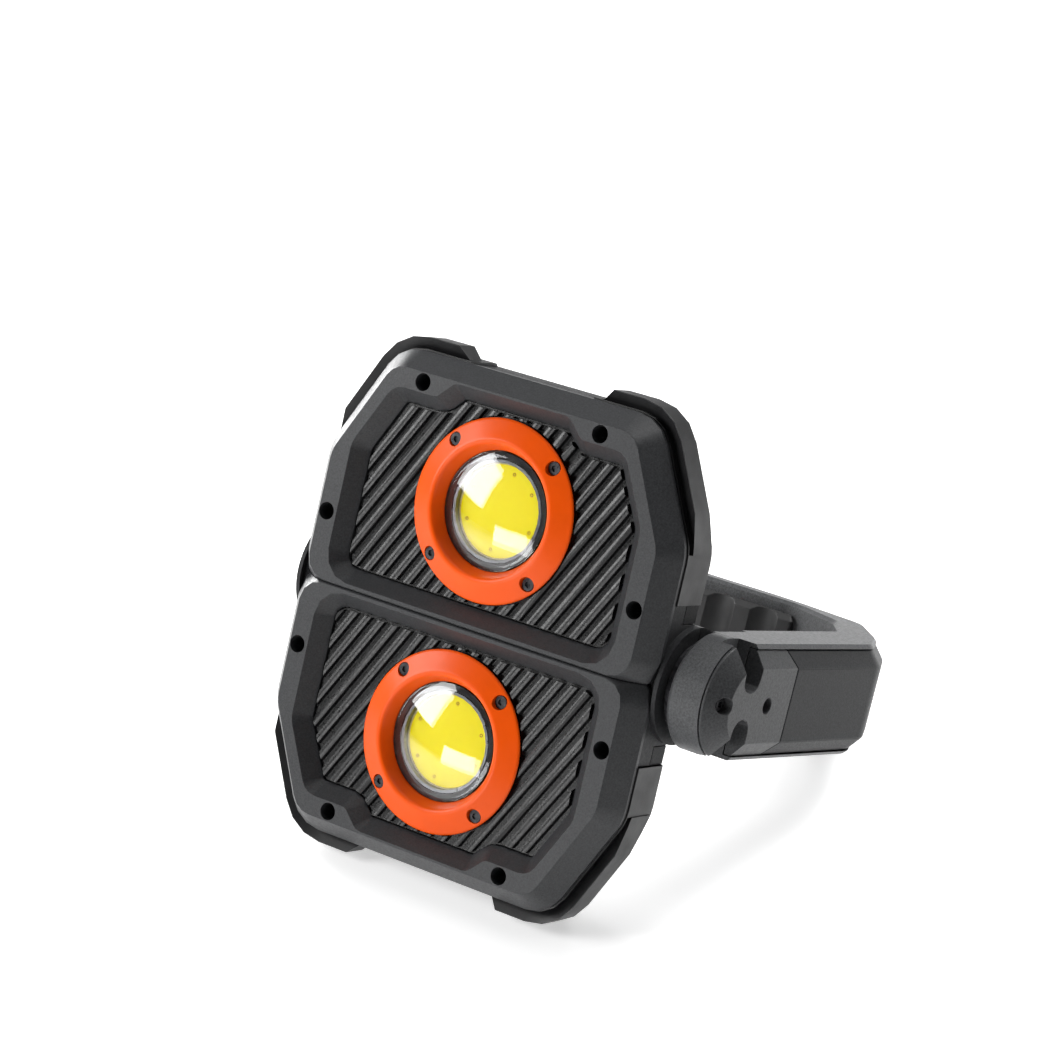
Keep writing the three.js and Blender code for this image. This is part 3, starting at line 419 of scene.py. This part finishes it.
RIB_ANGLE = math.radians(60.3)
RIB_TOP = 0.0042  # depth of the ribs' crests behind the front face
RIB_ROUNDING = 0.0012
RING_SCREWS_R = 27.7
RING_SCREW_AT = [
    (RING_SCREWS_R * math.cos(math.radians(a)), RING_SCREWS_R * math.sin(math.radians(a)))
    for a in (45, 135, 225, 315)
]
DOTS_R = 13.2
DOTS_AT = (80, 38, 158, 205, 268, 342)  # degrees round the disc
REAR_SCREW_AT = ((-44, -29), (44, -29), (44, 29), (-44, 29))
BACK_RIBS = 9
BACK_RIB_PITCH = 8
BACK_RIB_DEPTH = 45.45  # middle of a rib's thickness behind the front face
BACK_RIB_SIZE = (3, 0.9)
BACK_RIB_LENGTHS = (54, 46)  # long and short ribs take turns


def lens_ring(head):
    """The turned orange ring, its crest rounded and its four screws let in."""
    profile = [
        [20.2, 6.1], [20.2, 5.45], [20.35, 5.2], [21.9, 2.1], [22.35, 1.35], [22.7, 1.12],
        [23.15, 0.96], [23.6, 0.92], [24.1, 1.02], [24.6, 1.22], [27.4, 2.25], [30.1, 3.25],
        [30.5, 3.42], [30.85, 3.65], [30.98, 3.95], [30.9, 4.2], [29.9, 4.5], [29.7, 6.1],
    ]
    ring = turned(f"lens_ring_{head}_turned", profile, 128)
    bored(ring, 2.5, -1, 4.3, RING_SCREW_AT)
    bored(ring, 1.75, 4, 7, RING_SCREW_AT, 24)
    round_edges(ring, 0.2 * MM, 40)
    apply_all(ring)
    smoothed(ring, 35)
    settle(ring, in_head(head))
    return ring


def lens(head):
    """The domed window, one curved sheet with a square edge."""
    steps, bulge = 14, 3.2
    shares = [k / steps for k in range(steps + 1)]
    outer = [[19.8 * share, 5.2 - bulge * (1 - share * share)] for share in shares]
    inner = [[18.7 * share, 6.3 - bulge * (1 - share * share)] for share in reversed(shares)]
    return turned_in_head("lens_{}_dome", head, [*outer, [19.8, 6.3], *inner], 128, 35)


def glow_disc(head):
    """The light-emitting disc: a yellow gel with a rolled edge. Its faint glow is painted
    light, since the disc is unlit.
    """
    profile = [
        [0, 8.8], [5, 8.8], [10, 8.8], [15.0, 8.82], [15.4, 8.9], [15.5, 9.05], [15.5, 9.5],
        [8, 9.5], [0, 9.5],
    ]
    return turned_in_head("glow_disc_{}", head, profile, 96, 40)


def led_plate(head):
    """The black board that carries the disc."""
    profile = [
        [0, 9.55], [10, 9.55], [19.3, 9.55], [19.7, 9.7], [19.8, 9.95], [19.8, 11.2], [0, 11.2],
    ]
    return turned_in_head("led_plate_{}", head, profile, 96, 40)


def ribbed_panel(head):
    """The ribbed panel, each rib's long edges rolled over into a round crest."""
    panel = eased(f"heat_panel_{head}", 0)
    to_lamp = LAMP.inverted()
    along = Vector((math.cos(RIB_ANGLE), 0, math.sin(RIB_ANGLE)))

    def on_a_crest(a, b):
        a, b = to_lamp @ a, to_lamp @ b
        on_top = max(abs(a.y - RIB_TOP), abs(b.y - RIB_TOP)) < 0.0001
        return on_top and abs((b - a).normalized().dot(along)) > 0.999

    pick_edges(panel, on_a_crest)
    bpy.ops.mesh.bevel(offset=RIB_ROUNDING, segments=4, profile=0.5, clamp_overlap=False)
    bpy.ops.object.mode_set(mode="OBJECT")
    panel.name = f"heat_panel_{head}_ribbed"
    smoothed(panel, EASED_ANGLE)
    return panel


def glow_rim(head):
    """The pale dam that holds the gel."""
    profile = [
        [15.55, 9.5], [15.55, 8.9], [15.65, 8.7], [15.85, 8.62], [16.05, 8.7], [16.15, 8.9],
        [16.15, 9.5],
    ]
    return turned_in_head("glow_rim_{}", head, profile, 96, 40)


def glow_dots(head):
    """Solder dots that show through the gel near its edge."""
    profile = [[0.28, 8.84], [0.34, 8.73], [0.5, 8.7], [0.62, 8.74], [0.66, 8.84]]
    made = []
    for k, degrees in enumerate(DOTS_AT):
        angle = math.radians(degrees)
        dot = turned(f"glow_dot_{head}_{k}", profile, 20)
        settle(dot, in_head(head, DOTS_R * math.cos(angle), DOTS_R * math.sin(angle)))
        made.append(dot)
    dots = joined(made, f"glow_dots_{head}")
    smoothed(dots, 50)
    return dots


def rear_screws():
    """Four button-head screws that hold the battery housing."""
    profile = [
        [0, 45.25], [3.1, 45.25], [3.1, 45.5], [2.9, 45.95], [2.3, 46.25], [1.5, 46.35],
        [0, 46.38],
    ]
    made = []
    for k, (x, z) in enumerate(REAR_SCREW_AT):
        screw = turned(f"rear_screw_{k + 1}", profile, 32)
        bored(screw, 1.3, 45.6, 47, [(0, 0)], 6)
        smoothed(screw, 35)
        settle(screw, LAMP @ Matrix.Translation((x * MM, 0, z * MM)))
        made.append(screw)
    return made


def back_ribs():
    """Raised ribs that stiffen the battery housing's back, with rounded ends."""

    def upright(a, b):
        return abs(a.x - b.x) < 1e-6 and abs(a.z - b.z) < 1e-6

    wide, thick = BACK_RIB_SIZE
    bars = []
    for k in range(BACK_RIBS):
        x = (k - BACK_RIBS // 2) * BACK_RIB_PITCH
        bpy.ops.object.select_all(action="DESELECT")
        bpy.ops.mesh.primitive_cube_add(size=1, location=(x * MM, BACK_RIB_DEPTH * MM, 0))
        bar = bpy.context.object
        bpy.ops.transform.resize(value=(wide * MM, thick * MM, BACK_RIB_LENGTHS[k % 2] * MM))
        bpy.ops.object.transform_apply(location=True, rotation=True, scale=True)
        pick_edges(bar, upright)
        bpy.ops.mesh.bevel(offset=1.4 * MM, segments=5)
        bpy.ops.object.mode_set(mode="OBJECT")
        round_edges(bar, 0.3 * MM, 50)
        apply_all(bar)
        bars.append(bar)
    ribs = joined(bars, "back_ribs")
    smoothed(ribs, 35)
    settle(ribs, LAMP)
    return ribs


def shown(piece, body, material, slot, *nodes):
    """Gives a piece its finish, the body it moves with and the nodes it replaces; its slot is
    not used.
    """
    paint(piece, material)
    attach(piece, body)
    if nodes:
        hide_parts(*nodes)


DULL = {"Specular_IOR_Level": 0.2}
MATT = {"Specular_IOR_Level": 0.11}
SATIN = {"Specular_IOR_Level": 0.35}
GLOSSY = {"Specular_IOR_Level": 0.4}
charcoal = moulded("charcoal_plastic", (0.020, 0.0205, 0.022), 0.5, 1500, 0.00008, **DULL)
# The handle frame's lighter grey is a painted highlight: it stands in for the stronger light on
# the rails' tops.
rail_grey_painted_highlight = moulded("rail_plastic_painted_highlight", (0.066, 0.0675, 0.07), 0.42, 1500, 0.00008, **DULL)
frame_grey = moulded("frame_plastic", (0.029, 0.030, 0.032), 0.4, 1700, 0.00007, **SATIN)
satin_grey = moulded("satin_plastic", (0.015, 0.0155, 0.0165), 0.45, 2600, 0.00003, **MATT)
hub_grey = moulded("hub_plastic", (0.042, 0.043, 0.045), 0.42, 1500, 0.00009, **DULL)
rib_black = moulded("rib_plastic", (0.0045, 0.0045, 0.005), 0.3, 1300, 0.00012, **GLOSSY)
black_rubber = rubbery("black_rubber", (0.008, 0.008, 0.0085), 0.6)
bumper_rubber = rubbery("bumper_rubber", (0.008, 0.008, 0.0088), 0.46)
orange = satin_orange()
steel = dark_steel()
glass = clear("clear_lens", (0.97, 0.98, 1.0), 0.01)
smoked = clear("smoked_window", (0.25, 0.25, 0.27), 0.05)
yellow = phosphor_painted_glow()
pale_rim = moulded("pale_dam", (0.9, 0.86, 0.55), 0.35, 2400, 0.00002)
dot_amber = moulded("amber_dots", (0.5, 0.40, 0.01), 0.4, 2400, 0.00002)
silvered = metal("silvered_plastic", (0.22, 0.22, 0.23), 0.35, 300)
aluminium = metal("bare_aluminium", (0.55, 0.55, 0.57), 0.4, 400)
green_board = circuit()
cell_wrap = moulded("cell_wrap", (0.05, 0.17, 0.4), 0.3, 600, 0.00003)

studio()

for head in HEADS:
    shown(lens_ring(head), "lamp", orange, "orange_plastic", f"lens_ring_{head}")
    shown(lens(head), "lamp", glass, "clear_lens", f"lens_{head}")
    shown(glow_disc(head), "lamp", yellow, "yellow_glow")
    shown(led_plate(head), "lamp", rib_black, "panel_plastic", f"led_board_{head}")
    shown(ribbed_panel(head), "lamp", rib_black, "panel_plastic", f"heat_panel_{head}")
    shown(glow_rim(head), "lamp", pale_rim, "yellow_glow")
    shown(glow_dots(head), "lamp", dot_amber, "yellow_glow")

EASED = [
    # node, rounding in m, finish, slot
    ("front_frame_upper", 0.0004, frame_grey, "body_plastic"),
    ("front_frame_lower", 0.0004, frame_grey, "body_plastic"),
    ("mid_housing", 0.0003, charcoal, "body_plastic"),
    ("rear_housing", 0.0003, satin_grey, "rear_plastic"),
    ("power_button", 0.0003, orange, "orange_plastic"),
    ("port_cover", 0.0003, black_rubber, "rubber"),
    ("charge_gauge", 0.0002, smoked, "gauge_window"),
    ("boss_plug", 0.0003, satin_grey, "rear_plastic"),
    ("handle_frame", 0.0006, rail_grey_painted_highlight, "body_plastic"),
    ("handle_cover", 0.0005, satin_grey, "rear_plastic"),
    ("handle_grip", 0.0006, black_rubber, "rubber"),
    ("hub_cap", 0.0003, hub_grey, "rear_plastic"),
    ("handle_end_cap", 0.0006, black_rubber, "rubber"),
]
for corner in ("upper_right", "upper_left", "lower_right", "lower_left"):
    EASED.append((f"bumper_{corner}", 0.0006, bumper_rubber, "rubber"))

moving = frame["record"]["behaviour"]["bodies"]
bodies = {node: body for body, nodes in moving.items() for node in nodes}
for node, edge, material, slot in EASED:
    shown(eased(node, edge), bodies[node], material, slot, node)

for screw in rear_screws():
    shown(screw, "lamp", steel, "black_steel")
shown(back_ribs(), "lamp", satin_grey, "rear_plastic")

KEPT = [
    ("lens_seal", black_rubber), ("reflector", silvered),
    ("ring_screw", steel), ("frame_screw", steel), ("cap_screw", steel), ("pivot_bolt", steel),
    ("heat_sink", aluminium), ("driver_board", green_board), ("control_board", green_board),
    ("battery_tray", rib_black), ("battery_cell", cell_wrap), ("friction_washer", steel),
]
for start, material in KEPT:
    for node, piece in frame["nodes"].items():
        if node.startswith(start):
            paint(piece, material)
